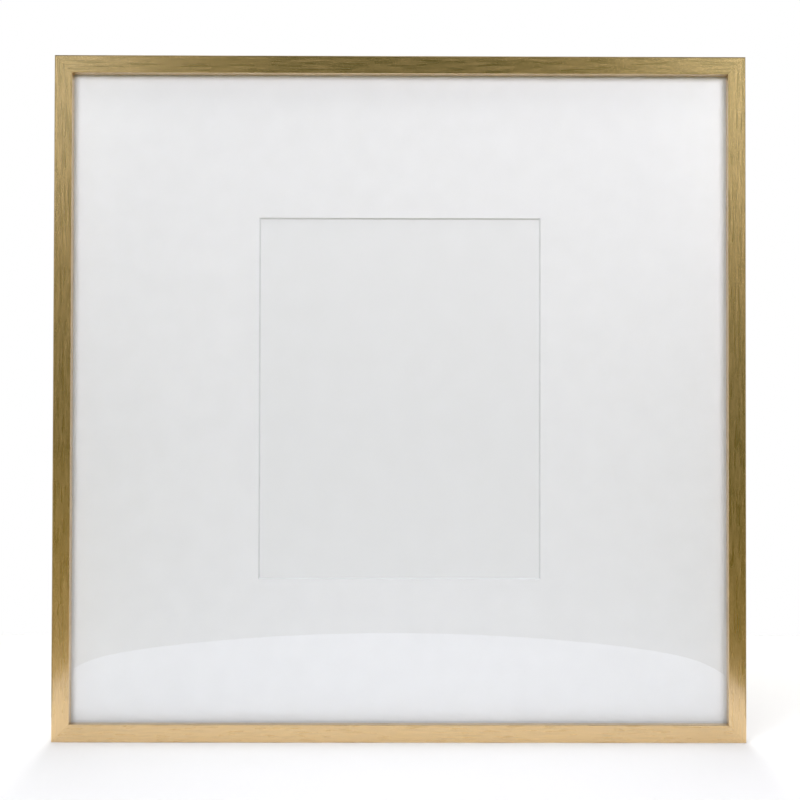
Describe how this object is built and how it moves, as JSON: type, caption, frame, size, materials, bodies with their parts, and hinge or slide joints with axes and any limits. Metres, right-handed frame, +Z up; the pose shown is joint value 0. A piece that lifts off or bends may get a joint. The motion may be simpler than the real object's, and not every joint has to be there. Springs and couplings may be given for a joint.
{
  "type": "glazed picture frame",
  "caption": "Flat mitred wall frame with glass, a wide white bevelled mat round a portrait window, turn buttons and ring hangers behind.",
  "frame": {"origin": "middle of the underside of the bottom rail, halfway through the frame's depth", "axes": "+X to the right as seen from the front, +Y towards the wall, +Z up"},
  "size_m": [0.658, 0.025, 0.652],
  "materials": {
    "gold_moulding": "brushed olive-gold foil on wood, bare at the back",
    "clear_glass": "clear polished",
    "mat_board": "smooth white paper face, white core at the bevel",
    "mount_paper": "smooth off-white paper face",
    "filler_board": "plain board, light core",
    "hardboard": "smooth brown hardboard",
    "nail_steel": "plain steel",
    "button_steel": "zinc plated",
    "screw_steel": "zinc plated",
    "hanger_steel": "nickel plated",
    "black_rubber": "matte black"
  },
  "bodies": {
    "frame": {"top_rail": "gold_moulding", "bottom_rail": "gold_moulding", "left_stile": "gold_moulding", "right_stile": "gold_moulding", "top_left_nails": "nail_steel", "top_right_nails": "nail_steel", "bottom_left_nails": "nail_steel", "bottom_right_nails": "nail_steel", "glazing": "clear_glass", "window_mat": "mat_board", "mount_board": "mount_paper", "filler_board": "filler_board", "backing_board": "hardboard", "turn_button_screws": "screw_steel", "left_hanger_strap": "hanger_steel", "right_hanger_strap": "hanger_steel", "hanger_screws": "screw_steel", "left_bumper": "black_rubber", "right_bumper": "black_rubber"},
    "top_left_turn_button": {"top_left_turn_button": "button_steel"},
    "top_right_turn_button": {"top_right_turn_button": "button_steel"},
    "bottom_left_turn_button": {"bottom_left_turn_button": "button_steel"},
    "bottom_right_turn_button": {"bottom_right_turn_button": "button_steel"},
    "left_lower_turn_button": {"left_lower_turn_button": "button_steel"},
    "left_upper_turn_button": {"left_upper_turn_button": "button_steel"},
    "right_lower_turn_button": {"right_lower_turn_button": "button_steel"},
    "right_upper_turn_button": {"right_upper_turn_button": "button_steel"},
    "left_hanger_ring": {"left_hanger_ring": "hanger_steel"},
    "right_hanger_ring": {"right_hanger_ring": "hanger_steel"}
  },
  "joints": [
    {"name": "top_left_turn_button_turn", "type": "hinge", "parent": "frame", "child": "top_left_turn_button", "pos_m": [-0.19, 0.0106, 0.646], "axis": [0, 1, 0], "continuous": true},
    {"name": "top_right_turn_button_turn", "type": "hinge", "parent": "frame", "child": "top_right_turn_button", "pos_m": [0.19, 0.0106, 0.646], "axis": [0, 1, 0], "continuous": true},
    {"name": "bottom_left_turn_button_turn", "type": "hinge", "parent": "frame", "child": "bottom_left_turn_button", "pos_m": [-0.19, 0.0106, 0.006], "axis": [0, 1, 0], "continuous": true},
    {"name": "bottom_right_turn_button_turn", "type": "hinge", "parent": "frame", "child": "bottom_right_turn_button", "pos_m": [0.19, 0.0106, 0.006], "axis": [0, 1, 0], "continuous": true},
    {"name": "left_lower_turn_button_turn", "type": "hinge", "parent": "frame", "child": "left_lower_turn_button", "pos_m": [-0.323, 0.0106, 0.136], "axis": [0, 1, 0], "continuous": true},
    {"name": "left_upper_turn_button_turn", "type": "hinge", "parent": "frame", "child": "left_upper_turn_button", "pos_m": [-0.323, 0.0106, 0.516], "axis": [0, 1, 0], "continuous": true},
    {"name": "right_lower_turn_button_turn", "type": "hinge", "parent": "frame", "child": "right_lower_turn_button", "pos_m": [0.323, 0.0106, 0.136], "axis": [0, 1, 0], "continuous": true},
    {"name": "right_upper_turn_button_turn", "type": "hinge", "parent": "frame", "child": "right_upper_turn_button", "pos_m": [0.323, 0.0106, 0.516], "axis": [0, 1, 0], "continuous": true},
    {"name": "left_hanger_ring_swing", "type": "hinge", "parent": "frame", "child": "left_hanger_ring", "pos_m": [-0.322, 0.01178, 0.456], "axis": [1, 0, 0], "range_deg": [0, 174]},
    {"name": "right_hanger_ring_swing", "type": "hinge", "parent": "frame", "child": "right_hanger_ring", "pos_m": [0.322, 0.01178, 0.456], "axis": [1, 0, 0], "range_deg": [0, 174]}
  ]
}
